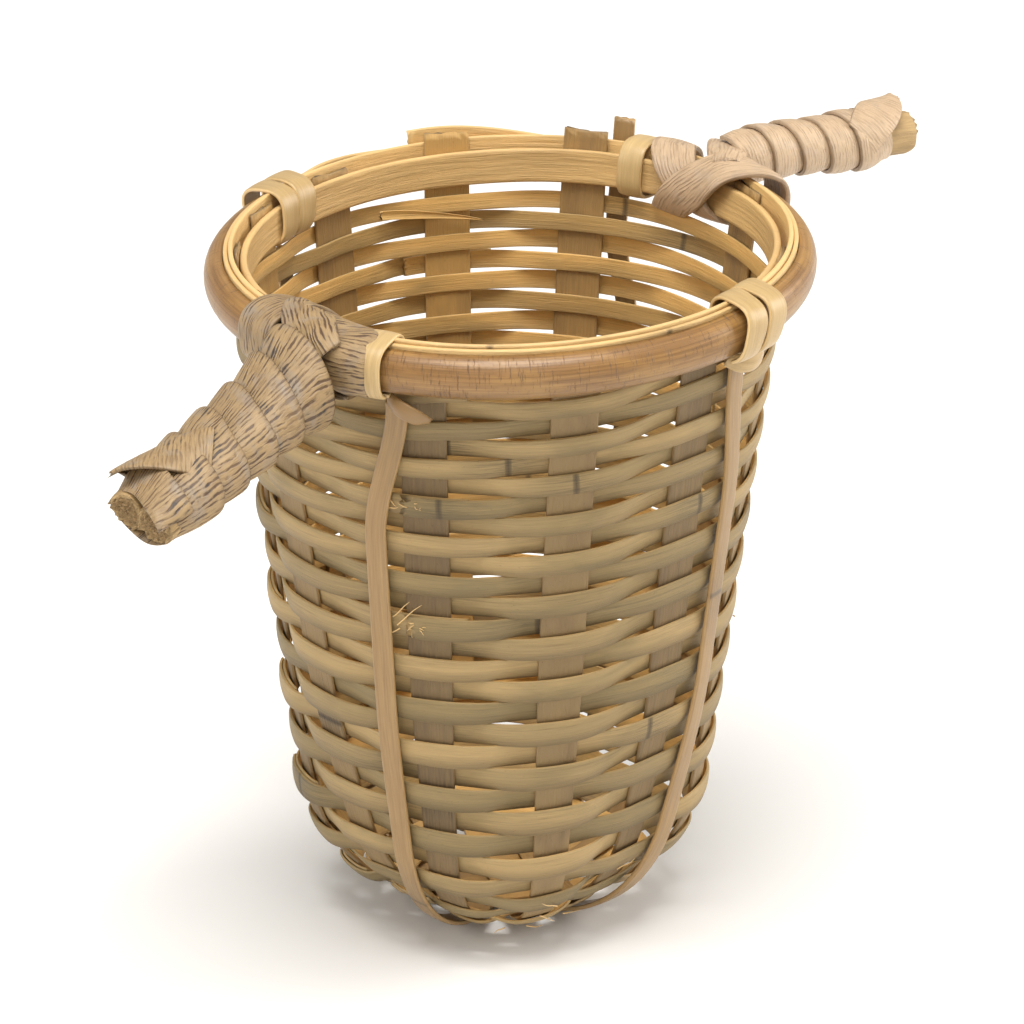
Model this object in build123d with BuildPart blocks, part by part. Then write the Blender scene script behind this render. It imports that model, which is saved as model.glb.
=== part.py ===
from build123d import *
import math
import os

os.makedirs("parts", exist_ok=True)

# Woven bamboo strainer basket, millimetres, +Z up, standing on z = 0.
# Angles are degrees around +Z; the dark handle points to 180, the pale one to -8.

# Basket wall, measured at the middle of its thickness
rim_height = 105.0
rim_radius = 40.1
wall_slope = 0.117
foot_corner_radius = 21.0
floor_height = 2.6
foot_squareness = 0.17
foot_corner_angle = 41.0
square_fades_at = 48.0

# The hand-bound rim sits a little low, tilted and off centre; the wall follows it upwards
rim_sink = 0.9
rim_tilt = 1.8
tilt_towards = -27.0
rim_shift = 1.15
shift_towards = -50.0

# Stakes: six long strips, crossing as a three by three plait in the floor. One end is cut off
# inside the lowest row, which leaves the odd number of stakes that a spiral weave needs.
# They stand unevenly, numbered in the order in which the weave meets them.
stake_rim_angles = (234.0, 201.5, 156.0, 130.0, 108.0, 82.9, 54.0, 23.4, -22.0, -61.0, -96.0)
stake_foot_angles = (234.0, 201.5, 171.0, 144.0, 116.0, 82.9, 54.0, 23.4, -22.0, -61.0, -94.0)
stake_count = len(stake_rim_angles)
stake_foot = 103.0
strip_spacing = 6.6
floor_step = 1.65
floor_steps = 10
cut_end_steps = 8
cut_end_spread = 28.0
stake_width_rim = 7.0
stake_width_floor = 5.0
stake_thickness = 0.6
plait_lift = 0.46
stake_top = 3.4
back_stake_top = 5.6

# Weavers: a spiral of flat strips, each about one turn long, ends lapped on a stake
weaver_count = 28
first_row = 3.9
row_pitch_rim = 3.07
row_pitch_growth = 0.0125
weaver_thickness = 0.45
weaver_clearance = 0.03
lap_half_angle = 10.0
lap_lift = 0.56

# Rim hoop and splints: height above and below the rim middle line
hoop_thickness = 1.1
splint_thickness = 0.75
cane_height = 6.8
cane_depth = 3.1
cane_lift = 2.2
cane_from = 97.0
cane_to = 351.0

# Straps under the basket
strap_width = 3.6
strap_thickness = 0.8
strap_angle_long = 10.5
strap_angle_cross = 97.5

# Lashings and handle bands go round the rim as a rounded loop
loop_middle = 2.12
loop_half_width = 4.3
loop_half_height = 4.0
loop_shift = 0.5
lashing_thickness = 0.6
lashing_width = 4.1
band_thickness = 0.8

# Handles
core_a_diameter = 6.2
core_b_diameter = 6.7
handle_a_droop = 17.0
handle_b_droop = 8.0
handle_b_angle = -8.0
turns = 5
handle_a_height = -0.8
handle_b_height = 4.9


def smooth(value, low, high):
    """Ease from 0 at low to 1 at high."""
    share = min(max((value - low) / (high - low), 0.0), 1.0)
    return share * share * (3.0 - 2.0 * share)


def angle_gap(angle, other):
    """Smallest difference between two directions."""
    return abs((angle - other + 180.0) % 360.0 - 180.0)


# The meridian: straight cone, tangent arc, flat floor
lean = math.atan(wall_slope)
turn = math.pi / 2 - lean
foot_radius = rim_radius - wall_slope * (rim_height - floor_height)
tangent = foot_corner_radius * math.tan(turn / 2)
cone_length = (rim_height - floor_height) / math.cos(lean) - tangent
arc_length = foot_corner_radius * turn
flat_radius = foot_radius - tangent


def meridian(distance):
    """Radius and height at a distance down the wall from the rim middle line."""
    if distance < cone_length:
        return rim_radius - distance * math.sin(lean), rim_height - distance * math.cos(lean)
    if distance < cone_length + arc_length:
        slant = lean + (distance - cone_length) / foot_corner_radius
        radius = flat_radius + foot_corner_radius * math.cos(slant)
        return radius, floor_height + foot_corner_radius * (1.0 - math.sin(slant))
    return flat_radius - (distance - cone_length - arc_length), floor_height


def distance_at(radius):
    """Distance down the wall where the meridian has this radius."""
    if radius < flat_radius:
        return cone_length + arc_length + flat_radius - radius
    slant = math.acos(min((radius - flat_radius) / foot_corner_radius, 1.0))
    if slant > lean:
        return cone_length + (slant - lean) * foot_corner_radius
    return (rim_radius - radius) / math.sin(lean)


def squareness(height, angle):
    """Share of the radius lost between the corners of the squarish foot."""
    depth = foot_squareness * (1.0 - smooth(height, 0.0, square_fades_at))
    return depth * (1.0 - math.cos(math.radians(4.0 * (angle - foot_corner_angle)))) / 2


def wall_point(distance, angle):
    radius, height = meridian(distance)
    radius = radius * (1.0 - squareness(height, angle))
    point = Vector(radius, 0, 0).rotate(Axis.Z, angle)
    share = (height / rim_height) ** 2
    towards = radius * math.cos(math.radians(angle - tilt_towards))
    rise = math.tan(math.radians(rim_tilt)) * towards - rim_sink
    shift = Vector(rim_shift * share, 0, 0).rotate(Axis.Z, shift_towards)
    return point + shift + Vector(0, 0, height + rise * share)


def seat(distance, angle, lift):
    """A point lifted off the wall, and the outward direction there."""
    down = wall_point(distance + 0.05, angle) - wall_point(distance - 0.05, angle)
    if distance > cone_length + arc_length:
        outward = Vector(0, 0, -1)
    else:
        around = wall_point(distance, angle + 0.1) - wall_point(distance, angle - 0.1)
        outward = down.cross(around).normalized()
    return wall_point(distance, angle) + outward * lift, outward


def section_plane(stations, index):
    """Plane across a strip: x across its width, y out of its face."""
    before = stations[max(index - 1, 0)][0]
    after = stations[min(index + 1, len(stations) - 1)][0]
    along = (after - before).normalized()
    point, outward = stations[index][0], stations[index][1]
    return Plane(origin=point, x_dir=outward.cross(along), z_dir=along)


def ribbon(stations, thickness, ruled=False):
    """Flat strip lofted through (point, outward, width) stations."""
    with BuildPart() as strip:
        for index in range(len(stations)):
            with BuildSketch(section_plane(stations, index)):
                Rectangle(stations[index][2], thickness)
        loft(ruled=ruled)
    return strip.part


def save(part, label):
    part.label = label
    export_step(part, f"parts/{label}.step")


# ---- Floor and stakes ----

def plait_wave(place):
    """Over-and-under shape with flat tops, one half wave per strip spacing."""
    phase = math.pi * place / strip_spacing
    return plait_lift * (math.cos(phase) - 0.2 * math.cos(3 * phase)) / 0.8


def stake_angle(number, distance):
    """Direction of a stake at a distance down the wall; some stakes lean."""
    rim, foot = stake_rim_angles[number], stake_foot_angles[number]
    return rim + (foot - rim) * min(distance / stake_foot, 1.0)


def floor_path(direction, lane, over, side, spread, steps):
    """From the middle of the floor out to the foot; spread is the angle off the strip's direction."""
    stations = []
    slant = math.tan(math.radians(spread))
    for step in range(1 - max(side, 0), steps + 1):
        x = floor_step * step
        if lane:
            y = lane * (strip_spacing ** 8 + (slant * x) ** 8) ** 0.125
        else:
            y = slant * x * smooth(x, 4.0, 15.0)
        angle = direction + math.degrees(math.atan2(y, side * x))
        plan_radius = math.hypot(x, y)
        height = floor_height
        for _ in range(4):
            distance = distance_at(plan_radius / (1.0 - squareness(height, angle)))
            height = meridian(distance)[1]
        lift = -over * (-1) ** lane * plait_wave(x) * (1.0 - smooth(x, 9.0, 12.0))
        if plan_radius < flat_radius * 0.8:
            point = Vector(x * side, y, floor_height - lift).rotate(Axis.Z, direction)
            outward = Vector(0, 0, -1)
        else:
            point, outward = seat(distance, angle, lift)
        stations.append((point, outward, stake_width_floor))
    return stations, distance


def wall_path(number, start):
    """From the foot up the wall to the stake's top."""
    stations = []
    top = back_stake_top if angle_gap(stake_rim_angles[number], 41.0) < 20.0 else stake_top
    count = 26
    for step in range(1, count + 1):
        distance = start - (start + top) * step / count
        point, outward = seat(distance, stake_angle(number, distance), 0.0)
        grow = smooth(start - distance, 0.0, 70.0)
        stations.append((point, outward, stake_width_floor + (stake_width_rim - stake_width_floor) * grow))
    return stations


def stake_stations(direction, lane, over, ends):
    """One long strip: down one side, through the plait and up the other side."""
    halves = []
    for side, number in zip((-1, 1), ends):
        if number is None:
            cut_end = floor_path(direction, lane, over, side, cut_end_spread, cut_end_steps)[0]
            halves.append(cut_end)
            continue
        off = side * (stake_foot_angles[number] - direction) + 90.0 * (1 - side)
        off = (off + 180.0) % 360.0 - 180.0
        spread = abs(off) if lane else off
        floor, start = floor_path(direction, lane, over, side, spread, floor_steps)
        halves.append(floor + wall_path(number, start))
    return halves[0][::-1] + halves[1]


# Direction, lane across it, first move in the plait, and the stakes at both ends
strips = ((54.0, -1, 1, (10, 7)), (54.0, 0, 1, (0, 6)), (54.0, 1, 1, (1, 5)),
          (-36.0, -1, -1, (2, 9)), (-36.0, 0, -1, (3, 8)), (-36.0, 1, -1, (4, None)))
for number, (direction, lane, over, ends) in enumerate(strips):
    strip = ribbon(stake_stations(direction, lane, over, ends), stake_thickness, ruled=True)
    save(strip, f"stake_strip_{number + 1}")


# ---- Weavers ----

# Where bands and lashings pass below the rim the top rows are pressed down
pressed = ((176.0, 1.4, 15.0), (194.0, 0.9, 4.0), (96.0, 0.5, 7.5))

# Between two wide-set stakes the rows ride up by as much as a millimetre
bulge_angle = 262.0
bulge_reach = 30.0


def spiral_distance(angle):
    """Distance down the wall of the spiral, whose angle falls by 360 with each turn."""
    turns_made = (stake_rim_angles[0] - angle) / 360.0
    start = row_pitch_rim / row_pitch_growth
    return (first_row + start) * (1.0 + row_pitch_growth) ** turns_made - start


def row_distance(angle):
    """The spiral, with the unevenness of the hand-laid rows."""
    distance = spiral_distance(angle)
    push = max(amount * (1.0 - smooth(angle_gap(angle, place), half, half + 10.0))
               for place, amount, half in pressed)
    near_bulge = 1.0 - smooth(angle_gap(angle, bulge_angle), 0.0, bulge_reach)
    rise = near_bulge * (1.0 - smooth(distance, 50.0, 90.0))
    return distance + push * max(1.0 - distance / 22.0, 0.0) - rise


def passing_angle(count, distance):
    """Direction of the count-th stake that the spiral passes."""
    return stake_angle(count % stake_count, distance) - 360.0 * (count // stake_count)


def passing_share(angle, distance):
    """How many stakes the spiral has passed; the fraction is the way to the next one."""
    count = int((stake_rim_angles[0] - angle) / 360.0 * stake_count) - 2
    while passing_angle(count + 1, distance) > angle:
        count += 1
    near, far = passing_angle(count, distance), passing_angle(count + 1, distance)
    return count + (near - angle) / (near - far)


def lap_passing(number):
    """The stake, in passing order, on which strip number starts, always on the outside."""
    stake = 1 if number in (0, 6, 12) else (5, 4, 3, 6)[number % 4]
    return stake_count * number + stake


def weaver_stations(number):
    """From one lap to the next, outside the odd passings and inside the even ones."""
    first = spiral_distance(passing_angle(lap_passing(number), 0.0))
    last = spiral_distance(passing_angle(lap_passing(number + 1), 0.0))
    start_angle = passing_angle(lap_passing(number), first) + lap_half_angle
    end_angle = passing_angle(lap_passing(number + 1), last) - lap_half_angle
    count = round((start_angle - end_angle) / 4.6)
    stations = []
    for step in range(count + 1):
        angle = start_angle + (end_angle - start_angle) * step / count
        distance = row_distance(angle)
        radius = meridian(distance)[0]
        half_width = (stake_width_floor if distance > 95.0 else stake_width_rim) / 2
        edge = 7.0 * half_width / radius
        shape = (math.cos(edge) - 0.12 * math.cos(3 * edge)) / 0.88
        sag = half_width ** 2 / (2.0 * radius)
        wave = ((stake_thickness + weaver_thickness) / 2 + sag + weaver_clearance) / shape
        phase = math.pi * (passing_share(angle, distance) - 1.0)
        lift = wave * (math.cos(phase) - 0.12 * math.cos(3 * phase)) / 0.88
        left = angle - end_angle
        lift += lap_lift * (1.0 - smooth(left, 2 * lap_half_angle, 2 * lap_half_angle + 9.0))
        share = 0.87 + 0.07 * smooth(distance, 10.0, 60.0) - 0.13 * smooth(distance, 78.0, 100.0)
        width = (row_pitch_rim + row_pitch_growth * distance) * share
        point, outward = seat(distance, angle, lift)
        stations.append((point, outward, width))
    return stations


for number in range(weaver_count):
    save(ribbon(weaver_stations(number), weaver_thickness), f"weaver_{number + 1:02d}")


# ---- Rim ----

def rim_stations(start, end, rise, lift, width, step=4.0):
    """Strip along the rim; rise and lift are functions of the angle."""
    count = round((end - start) / step)
    stations = []
    for index in range(count + 1):
        angle = start + (end - start) * index / count
        point, outward = seat(-rise(angle), angle, lift(angle))
        stations.append((point, outward, width))
    return stations


hoop = rim_stations(-3.0, 356.2, lambda a: 0.0, lambda a: -0.92, 5.2)
save(ribbon(hoop, hoop_thickness), "rim_inner_hoop")

inner_splint = rim_stations(-1.5, 357.7, lambda a: 0.9, lambda a: 0.88, 7.0)
save(ribbon(inner_splint, splint_thickness), "rim_splint_inner")

outer_splint = rim_stations(
    -5.0, 354.2, lambda a: 0.7,
    lambda a: 1.69 + 1.9 * smooth(a, 62.0, 76.0) * (1.0 - smooth(a, 78.0, 91.0)), 6.5)
save(ribbon(outer_splint, splint_thickness), "rim_splint_outer")

back_splint = rim_stations(
    -7.0, 61.0, lambda a: 0.4 + 3.0 * smooth(a, 22.0, 58.0), lambda a: 2.58, 5.6)
save(ribbon(back_splint, splint_thickness), "rim_back_splint")

start = Vector(1, 0, 0).rotate(Axis.Z, cane_from)
outward = start * math.cos(lean) - Vector(0, 0, math.sin(lean))
with BuildPart() as rim_cane:
    with BuildSketch(Plane(origin=start * rim_radius + outward * cane_lift, x_dir=outward,
                           z_dir=start.rotate(Axis.Z, -90.0))):
        with BuildLine():
            Line((0, -cane_height / 2), (0, cane_height / 2))
            ThreePointArc((0, cane_height / 2), (cane_depth, 0), (0, -cane_height / 2))
        make_face()
    revolve(axis=Axis.Z, revolution_arc=cane_to - cane_from)
tilt_axis = Axis((0, 0, 0), Vector(0, 1, 0).rotate(Axis.Z, tilt_towards))
rim_middle = Vector(rim_shift, 0, 0).rotate(Axis.Z, shift_towards) + Vector(0, 0, rim_height - rim_sink)
save(rim_cane.part.rotate(tilt_axis, -rim_tilt).translate(rim_middle), "rim_cane")


# ---- Loops round the rim ----

def loop_stations(turns_of, places, widths, extra, count):
    """Strip round the rim section. Turns run from the outside over the top to the inside."""
    first, last = turns_of
    stations = []
    for index in range(count + 1):
        share = index / count
        half_width = loop_half_width + extra(share)
        half_height = loop_half_height + extra(share)
        turned = math.radians(first + (last - first) * share)
        angle = places(share)
        reach = ((abs(math.cos(turned)) / half_width) ** 3
                 + (abs(math.sin(turned)) / half_height) ** 3) ** (-1 / 3)
        lift = loop_middle + reach * math.cos(turned)
        distance = -loop_shift - reach * math.sin(turned)
        point = seat(distance, angle, lift)[0]
        centre = seat(-loop_shift, angle, loop_middle)[0]
        stations.append([point, (point - centre).normalized(), widths(share)])
    return stations


def squared(stations):
    """Turn each outward direction square to the strip's own curve."""
    result = []
    for index, (point, outward, width) in enumerate(stations):
        before = stations[max(index - 1, 0)][0]
        after = stations[min(index + 1, len(stations) - 1)][0]
        along = (after - before).normalized()
        across = along.cross(outward)
        result.append((point, across.cross(along).normalized(), width))
    return result


def lashing(place, loops):
    gap = 360.0 / (2 * math.pi * rim_radius) * (lashing_width + 0.25)
    span = gap * (loops - 1)
    sweep = 360.0 * loops - (0.0 if loops > 1 else 8.0)
    return ribbon(squared(loop_stations(
        (300.0, 300.0 + sweep), lambda share: place + (share * loops - loops / 2) * span,
        lambda share: lashing_width, lambda share: lashing_thickness / 2, 36 * loops)), lashing_thickness)


save(lashing(274.5, 2), "lashing_front_right")
save(lashing(96.0, 2), "lashing_back_left")
save(lashing(193.8, 1), "lashing_front_left")
save(lashing(11.4, 1), "lashing_back_right")


# ---- Handle bands: two strips crossing inside the rim at each handle ----

def band(start_place, end_place, layer, width_start, width_end):
    """Starts up the outside of the cane, crosses inside the rim, ends under it on the other side.
    Layer 0 lies on the rim all the way; layer 1 rises over the other band where they cross."""
    step_up = layer * (band_thickness + 0.05)
    return ribbon(squared(loop_stations(
        (-42.0, 308.0),
        lambda share: start_place + (end_place - start_place) * smooth(share, 0.3, 0.95),
        lambda share: width_start + (width_end - width_start) * smooth(share, 0.6, 0.85),
        lambda share: band_thickness / 2 + step_up * smooth(share, 0.2, 0.42), 44)), band_thickness)


save(band(189.0, 166.5, 0, 6.6, 5.0), "handle_a_band_1")
save(band(167.0, 186.0, 1, 6.6, 5.0), "handle_a_band_2")
save(band(5.0, -13.6, 0, 6.6, 5.0), "handle_b_band_1")
save(band(-20.0, 4.8, 1, 6.6, 5.0), "handle_b_band_2")


# ---- Straps crossing under the floor ----

def strap_stations(base, bend, ends, hump, end_lift):
    stations = []
    for side in (-1, 1):
        half = []
        last = cone_length + arc_length + flat_radius
        count = 46
        for step in range(1 - max(side, 0), count + 1):
            end = ends[0] if side < 0 else ends[1]
            distance = last + (end - last) * step / count
            angle = base + (90.0 - 90.0 * side)
            turn_in = bend[0] if side < 0 else bend[1]
            angle += turn_in * (1.0 - smooth(distance, 6.0, 30.0))
            low = floor_height - strap_thickness / 2
            lift = 1.95 + (low - 1.95) * smooth(distance, 84.0, 100.0)
            lift -= hump * (1.0 - smooth(last - distance, 2.6, 6.0))
            edge = end_lift[0] if side < 0 else end_lift[1]
            lift += (edge - 1.95) * (1.0 - smooth(distance, 3.5, 14.0))
            if distance > cone_length + arc_length - 0.01:
                x = (last - distance) * (1 if side > 0 else -1)
                point = Vector(x, 0, floor_height - lift).rotate(Axis.Z, base)
                outward = Vector(0, 0, -1)
            else:
                point, outward = seat(distance, angle, lift)
            half.append((point, outward, strap_width))
        stations = half[::-1] if side < 0 else stations + half
    return stations


save(ribbon(strap_stations(strap_angle_long, (6.5, 6.3), (5.6, -7.2), 0.0, (1.95, 3.5)),
            strap_thickness, ruled=True), "strap_long")
save(ribbon(strap_stations(strap_angle_cross, (-4.5, -1.5), (5.6, 5.6), 0.83, (1.95, 1.95)),
            strap_thickness, ruled=True), "strap_cross")


# ---- Handles ----

def handle_plane(angle, reach, height, droop):
    """Plane square to a handle's axis at a distance out from the rim."""
    spin = math.radians(angle)
    sink = math.radians(droop)
    axis = Vector(math.cos(spin) * math.cos(sink), math.sin(spin) * math.cos(sink), -math.sin(sink))
    side = Vector(-math.sin(spin), math.cos(spin), 0)
    rim_point = seat(0.0, angle, 0.0)[0]
    start = rim_point + Vector(0, 0, height)
    return Plane(origin=start + axis * reach, x_dir=side, z_dir=axis)


def core(angle, height, droop, reach, length, diameter, side):
    start = handle_plane(angle, reach, height, droop)
    with BuildPart() as stick:
        with BuildSketch(start):
            with Locations((side, 0)):
                Circle(diameter / 2)
        extrude(amount=length)
    return stick.part


save(core(180.0, handle_a_height, handle_a_droop, 7.3, 36.1, core_a_diameter, 3.13), "handle_a_core_1")
save(core(180.0, handle_a_height, handle_a_droop, 7.3, 35.1, core_a_diameter, -3.13), "handle_a_core_2")
save(core(handle_b_angle, handle_b_height, handle_b_droop, 6.2, 36.6, core_b_diameter, 0.0), "handle_b_core")


def wrap(angle, height, droop, reach, length, bore, thin, thick):
    """Overlapping turns round a handle: each turn stands proud at its rim side."""
    pitch = length / turns
    with BuildPart() as skin:
        for index in range(turns):
            for share, skin_thickness in ((0.0, thick), (1.0, thin)):
                place = reach + pitch * (index + share)
                with BuildSketch(handle_plane(angle, place, height, droop)):
                    if bore[0] > bore[1]:
                        SlotOverall(bore[0] + 2 * skin_thickness, bore[1] + 2 * skin_thickness)
                    else:
                        Circle(bore[1] / 2 + skin_thickness)
            loft()
        with BuildSketch(handle_plane(angle, reach - 1.0, height, droop)):
            if bore[0] > bore[1]:
                SlotOverall(bore[0], bore[1])
            else:
                Circle(bore[1] / 2)
        extrude(amount=length + 2.0, mode=Mode.SUBTRACT)
    return skin.part


save(wrap(180.0, handle_a_height, handle_a_droop, 8.4, 33.0, (12.6, 6.35), 0.7, 1.5), "handle_a_wrap")
save(wrap(handle_b_angle, handle_b_height, handle_b_droop, 8.4, 30.5, (0.0, 6.85), 0.9, 1.9), "handle_b_wrap")
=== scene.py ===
import bpy
import math
import numpy as np
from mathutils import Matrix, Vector


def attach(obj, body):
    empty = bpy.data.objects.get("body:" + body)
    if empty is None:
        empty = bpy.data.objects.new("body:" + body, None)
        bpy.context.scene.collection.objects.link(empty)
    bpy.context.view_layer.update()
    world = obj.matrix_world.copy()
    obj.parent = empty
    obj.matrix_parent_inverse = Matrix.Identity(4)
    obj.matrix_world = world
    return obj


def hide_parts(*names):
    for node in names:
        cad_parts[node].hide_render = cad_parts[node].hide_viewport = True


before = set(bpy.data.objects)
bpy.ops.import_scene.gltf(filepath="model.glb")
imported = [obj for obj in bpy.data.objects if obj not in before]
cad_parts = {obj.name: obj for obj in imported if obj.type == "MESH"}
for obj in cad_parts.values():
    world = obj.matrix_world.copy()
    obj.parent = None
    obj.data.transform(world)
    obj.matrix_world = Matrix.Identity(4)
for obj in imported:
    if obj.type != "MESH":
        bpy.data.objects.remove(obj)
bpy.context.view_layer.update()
rng = np.random.default_rng(11)
MM = 0.001

# ---------------------------------------------------------------- the wall
# The same surface that the CAD parts are laid on, in millimetres and degrees. A place on it is a
# distance s down the wall from the rim and an angle round it; a lift is a height off it, outwards.
RIM_H, RIM_R, SLOPE = 105.0, 40.1, 0.117    # middle of the rim, and how fast the wall draws in
CORNER, FLOOR = 21.0, 2.6                   # radius of the turn into the floor, and the floor's height
SINK, TILT, TILT_TO = 0.9, 1.8, -27.0       # the rim sits low and leans up towards TILT_TO
SHIFT, SHIFT_TO = 1.15, -50.0               # and stands off centre towards SHIFT_TO
SQUARE, SQUARE_AT, SQUARE_TO = 0.17, 41.0, 48.0    # the foot is squarish, up to the height SQUARE_TO
LEAN = math.atan(SLOPE)
TURN = math.pi / 2 - LEAN
CONE = (RIM_H - FLOOR) / math.cos(LEAN) - CORNER * math.tan(TURN / 2)    # length of the straight wall
ARC = CORNER * TURN                                                      # and of the turn below it
FLAT = RIM_R - SLOPE * (RIM_H - FLOOR) - CORNER * math.tan(TURN / 2)     # radius of the flat floor


def smooth(x, low, high):
    """0 below low, 1 above high and an S curve between."""
    t = np.clip((np.asarray(x, float) - low) / (high - low), 0, 1)
    return t * t * (3 - 2 * t)


def gap(a, b):
    """How far apart two directions are."""
    return np.abs((np.asarray(a, float) - b + 180) % 360 - 180)


def meridian(s):
    """Radius and height at a distance down the wall: a cone, a turn, then the flat floor."""
    s = np.asarray(s, float)
    slant = LEAN + (s - CONE) / CORNER
    r = np.where(s < CONE, RIM_R - s * math.sin(LEAN), FLAT + CORNER * np.cos(slant))
    z = np.where(s < CONE, RIM_H - s * math.cos(LEAN), FLOOR + CORNER * (1 - np.sin(slant)))
    far = s > CONE + ARC
    return np.where(far, FLAT - (s - CONE - ARC), r), np.where(far, FLOOR, z)


def squareness(z, angle):
    """Share of the radius that the foot loses between its four corners."""
    return SQUARE * (1 - smooth(z, 0, SQUARE_TO)) * (1 - np.cos(np.radians(4 * (angle - SQUARE_AT)))) / 2


def wall(s, angle):
    """Point on the wall, with the foot squared and the rim sunk, tilted and shifted."""
    r, z = meridian(s)
    r = r * (1 - squareness(z, angle))
    share = (z / RIM_H) ** 2
    rise = math.tan(math.radians(TILT)) * r * np.cos(np.radians(angle - TILT_TO)) - SINK
    x = r * np.cos(np.radians(angle)) + SHIFT * share * math.cos(math.radians(SHIFT_TO))
    y = r * np.sin(np.radians(angle)) + SHIFT * share * math.sin(math.radians(SHIFT_TO))
    return np.stack([x, y, z + rise * share], -1)


def unit(v):
    return v / np.maximum(np.linalg.norm(v, axis=-1, keepdims=True), 1e-9)


def seat(s, angle, lift):
    """Point at a lift off the wall, and the direction outwards there."""
    s, angle = np.broadcast_arrays(np.asarray(s, float), np.asarray(angle, float))
    down = wall(s + .05, angle) - wall(s - .05, angle)
    n = unit(np.cross(down, wall(s, angle + .1) - wall(s, angle - .1)))
    n = np.where((s > CONE + ARC)[..., None], np.array([0, 0, -1.0]), n)
    return wall(s, angle) + n * np.asarray(lift, float)[..., None], n


def distance_at(radius):
    """Distance down the wall at which it has this radius."""
    if radius < FLAT:
        return CONE + ARC + FLAT - radius
    slant = math.acos(min((radius - FLAT) / CORNER, 1.0))
    return CONE + (slant - LEAN) * CORNER if slant > LEAN else (RIM_R - radius) / math.sin(LEAN)


def wander(x, size, length, seed):
    """Slow smooth unevenness along a hand-split strip."""
    r = np.random.default_rng(seed)
    out = np.zeros_like(np.asarray(x, float))
    for k in range(4):
        wave = np.sin(np.asarray(x) / length * (1 + 0.7 * k) + r.uniform(0, 6.28))
        out += wave * r.uniform(0.4, 1) / (1 + k)
    return out * size * 0.6


def eased(points, steps, reach):
    """Columns of a route through a few points, with its corners rounded by a running mean."""
    k = np.array(points, float)
    t = np.linspace(0, len(k) - 1, steps)
    mean = np.ones(2 * reach + 1) / (2 * reach + 1)
    columns = [np.interp(t, np.arange(len(k)), k[:, i]) for i in range(k.shape[1])]
    return [np.convolve(np.pad(column, reach, mode="edge"), mean, "valid") for column in columns]


# ---------------------------------------------------------------- meshes
def solid(name, grid, coords, mark, material, node):
    """A closed skin through a grid of points: rows along the strip, columns round its section.

    coords gives each point's distance along the strip, its distance across it and its side, from 1
    on the outer face to -1 on the inner. mark gives the strip's tone, seed and knot position. node is
    the CAD node that the piece stands for, or None.
    """
    n, m = grid.shape[:2]
    verts = (grid.reshape(-1, 3) * MM).tolist()
    attr = coords.reshape(-1, 3).tolist()
    faces = []
    for i in range(n - 1):
        for j in range(m):
            a, b = i * m + j, i * m + (j + 1) % m
            faces.append((a, b, b + m, a + m))
    for i in (0, n - 1):
        hub = len(verts)
        verts.append((grid[i].mean(0) * MM).tolist())
        attr.append([coords[i, :, 0].mean(), 0.0, 0.0])
        for j in range(m):
            a, b = i * m + j, i * m + (j + 1) % m
            faces.append((a, b, hub) if i else (b, a, hub))
    mesh = bpy.data.meshes.new(name)
    mesh.from_pydata(verts, [], faces)
    mesh.update()
    layer = mesh.attributes.new("strip", "FLOAT_VECTOR", "POINT")
    layer.data.foreach_set("vector", np.array(attr, np.float32).ravel())
    layer = mesh.attributes.new("mark", "FLOAT_VECTOR", "POINT")
    layer.data.foreach_set("vector", np.tile(np.array(mark, np.float32), len(verts)))
    mesh.polygons.foreach_set("use_smooth", [True] * len(mesh.polygons))
    mesh.materials.append(material)
    piece = bpy.data.objects.new(name, mesh)
    bpy.context.scene.collection.objects.link(piece)
    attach(piece, "root")
    if node:
        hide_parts(node)


def flat_profile(crown=0.12, rim=0.05):
    """Section of a split strip: a crowned outer face, a flatter inner one and rounded edges."""
    a = np.array([-1, -1 + rim * .35, -1 + rim * 1.6, -.7, -.35, 0, .35, .7, 1 - rim * 1.6, 1 - rim * .35, 1])
    h = 1 + crown * (1 - a ** 2)
    h[[0, -1]] = .45
    h[[1, -2]] = .86
    top = np.stack([a, h], 1)
    under = np.stack([a[::-1], -(1 - crown * .5 * (1 - a[::-1] ** 2))], 1)
    under[[0, -1], 1] = -.45
    under[[1, -2], 1] = -.86
    return np.concatenate([top, under])


FLATS = flat_profile()


def sweep(centre, outward, width, thickness, profile=FLATS, twist=0.0, cup=0.0):
    """Grid and coordinates of a strip along a line; cup bends its edges inwards."""
    n = len(centre)
    tangent = unit(np.gradient(centre, axis=0))
    across = unit(np.cross(outward, tangent))
    outward = np.cross(tangent, across)
    c, s = np.cos(np.broadcast_to(twist, n))[:, None], np.sin(np.broadcast_to(twist, n))[:, None]
    across, outward = across * c + outward * s, outward * c - across * s
    w = np.broadcast_to(width, n)[:, None] / 2
    t = np.broadcast_to(thickness, n)[:, None] / 2
    bend = np.broadcast_to(cup, n)[:, None] * profile[None, :, 0] ** 2
    grid = (centre[:, None] + across[:, None] * (profile[None, :, 0] * w)[..., None]
            + outward[:, None] * (profile[None, :, 1] * t - bend)[..., None])
    run = np.concatenate([[0], np.cumsum(np.linalg.norm(np.diff(centre, axis=0), axis=1))])
    coords = np.stack([np.broadcast_to(run[:, None], grid.shape[:2]), profile[None, :, 0] * w,
                       np.broadcast_to(profile[None, :, 1], grid.shape[:2])], -1)
    return grid, coords


def ragged(grid, end, depth, seed):
    """Pulls the last rows at one end of a strip (0 first, 1 last) into a torn, uneven end."""
    r = np.random.default_rng(seed)
    rows = range(3) if end == 0 else range(len(grid) - 1, len(grid) - 4, -1)
    along = unit(grid[rows[0]].mean(0) - grid[rows[2]].mean(0))
    pull = r.uniform(-1, 1, grid.shape[1])
    for k, i in enumerate(rows):
        grid[i] += along * (pull * depth * (1 - k / 3))[:, None]
    return grid


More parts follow.
